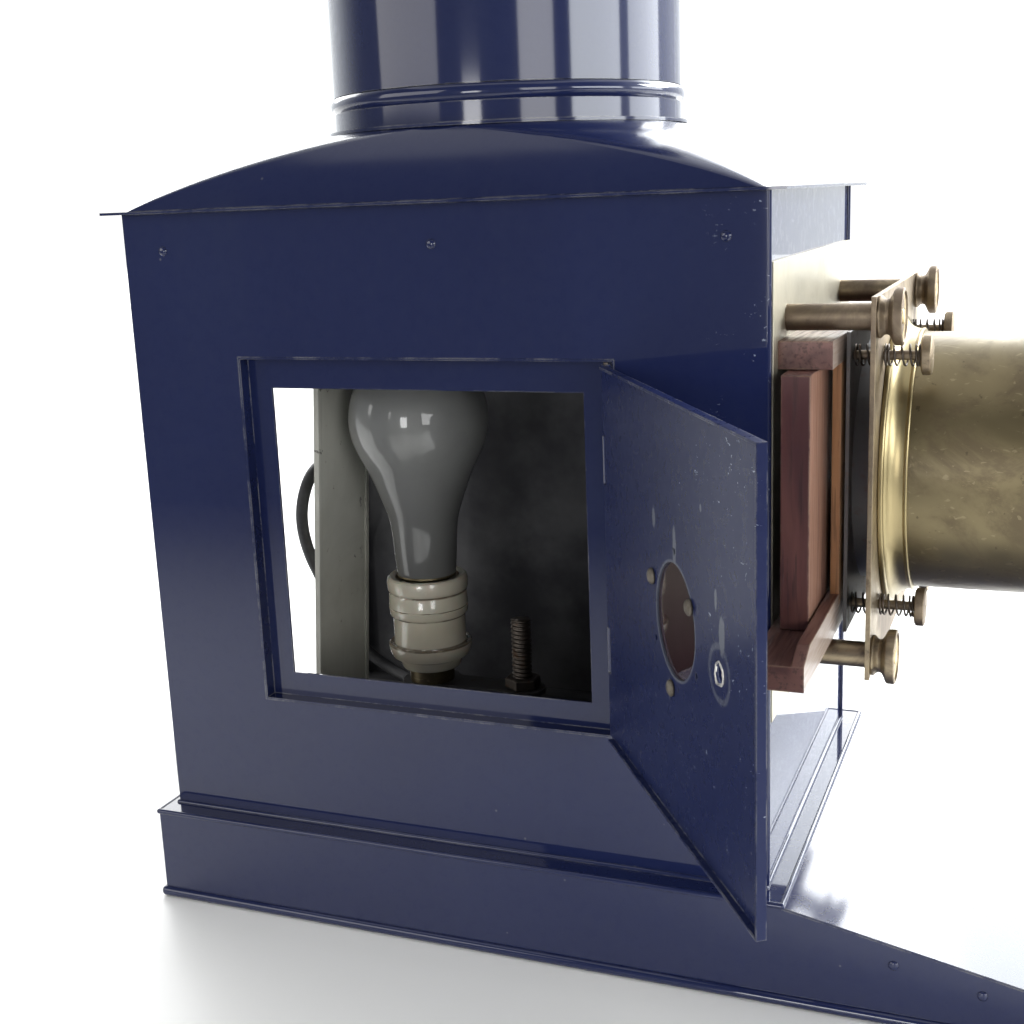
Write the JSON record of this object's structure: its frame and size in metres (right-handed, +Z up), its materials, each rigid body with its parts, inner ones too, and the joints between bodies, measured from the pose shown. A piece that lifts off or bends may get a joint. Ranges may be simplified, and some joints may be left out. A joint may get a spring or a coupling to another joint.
{
  "type": "magic lantern",
  "caption": "Sheet-metal slide projector with a lamphouse, side door, chimney, sprung wooden slide stage and brass lens tube with focusing objective.",
  "frame": {"origin": "on the table under the middle of the lamphouse, in the optical mid-plane", "axes": "+X towards the lens along the optical axis, +Z up, -Y the side with the lamp door"},
  "size_m": [0.6235, 0.4329, 0.5425],
  "materials": {
    "blue_enamel": "glossy navy stoving enamel over tinplate, worn at the edges",
    "black_paint": "heat-dulled black paint",
    "stage_brass": "brown-toned brass with a dull patina",
    "flange_brass": "lacquered brass, still bright",
    "tube_brass": "tarnished brass, mottled brown and green",
    "mahogany": "French-polished mahogany, worn corners",
    "clear_glass": "clear crown glass",
    "dark_glass": "dark inspection glass",
    "frosted_glass": "inside-frosted lamp glass",
    "porcelain": "off-white glaze",
    "grey_plate": "aged grey-green plate with stains",
    "bare_steel": "dull steel",
    "brass_screws": "dark brass",
    "cord_rubber": "dark grey rubber",
    "tie_cotton": "cotton tape",
    "plug_bakelite": "brown moulded plastic"
  },
  "bodies": {
    "lamphouse": {"base_tray": "blue_enamel", "floor_plate": "blue_enamel", "front_deck": "blue_enamel", "rim_bead": "blue_enamel", "foot_bead": "blue_enamel", "body_rivets": "blue_enamel", "near_wall": "blue_enamel", "far_wall": "blue_enamel", "front_wall": "blue_enamel", "back_wall": "blue_enamel", "door_frame": "blue_enamel", "eaves_flange": "blue_enamel", "roof_dome": "blue_enamel", "chimney_collar": "blue_enamel", "hinge_leaf": "blue_enamel", "hinge_pin": "bare_steel", "stage_plate": "stage_brass", "pillars": "stage_brass", "front_plate": "stage_brass", "thumb_nuts": "stage_brass", "top_rail": "mahogany", "bottom_rail": "mahogany", "aperture_board": "mahogany", "condenser_barrel": "black_paint", "condenser_lenses": "clear_glass", "condenser_rings": "tube_brass", "bell_flange": "flange_brass", "lens_tube": "tube_brass", "lens_tube_cap": "tube_brass", "objective_jacket": "tube_brass", "floor_runners": "black_paint"},
    "lamp_door": {"door_panel": "blue_enamel", "window_bezel": "blue_enamel", "window_glass": "dark_glass", "window_screws": "brass_screws"},
    "chimney": {"chimney_pipe": "blue_enamel", "chimney_cowl": "blue_enamel", "cowl_struts": "blue_enamel"},
    "slide_carrier": {"carrier_frame": "mahogany", "glass_slides": "clear_glass"},
    "pressure_plate": {"pressure_plate": "black_paint", "spring_screws": "stage_brass", "inner_springs": "bare_steel", "outer_springs": "bare_steel"},
    "focus_tube": {"draw_tube": "tube_brass", "objective_lenses": "clear_glass"},
    "focus_pinion": {"focus_pinion": "tube_brass"},
    "lamp_carriage": {"lamp_tray": "black_paint", "reflector_plate": "grey_plate", "lamp_screw": "bare_steel", "bracket_arm": "black_paint", "holder_cap": "tube_brass", "lamp_holder": "porcelain", "lamp_bulb": "frosted_glass", "cord_grip": "cord_rubber", "lamp_cord": "cord_rubber", "cord_coil": "cord_rubber", "cord_tail": "cord_rubber", "cord_tie": "tie_cotton", "mains_plug": "plug_bakelite"}
  },
  "joints": [
    {"name": "door_hinge", "type": "hinge", "parent": "lamphouse", "child": "lamp_door", "pos_m": [0.0838, -0.105, 0.1915], "axis": [0, 0, 1], "range_deg": [-123.6, 16.5]},
    {"name": "chimney_lift", "type": "slide", "parent": "lamphouse", "child": "chimney", "axis": [0, 0, 1], "range_m": [0, 0.06]},
    {"name": "carrier_slide", "type": "slide", "parent": "lamphouse", "child": "slide_carrier", "axis": [0, 1, 0], "range_m": [-0.08, 0.08]},
    {"name": "pressure_slide", "type": "slide", "parent": "lamphouse", "child": "pressure_plate", "axis": [1, 0, 0], "range_m": [0, 0.005], "stiffness_N_per_m": 1500, "deforming": ["inner_springs", "outer_springs"]},
    {"name": "focus_slide", "type": "slide", "parent": "lamphouse", "child": "focus_tube", "axis": [1, 0, 0], "range_m": [-0.01, 0.028]},
    {"name": "pinion_turn", "type": "hinge", "parent": "lamphouse", "child": "focus_pinion", "pos_m": [0.3, 0, 0.2615], "axis": [0, 1, 0], "range_deg": [-268.38, 96.49]},
    {"name": "lamp_tray_slide", "type": "slide", "parent": "lamphouse", "child": "lamp_carriage", "axis": [-1, 0, 0], "range_m": [0, 0.2]}
  ],
  "couplings": [
    {"joint": "pinion_turn", "follows": "focus_slide", "rad_per_m": -166.67}
  ]
}
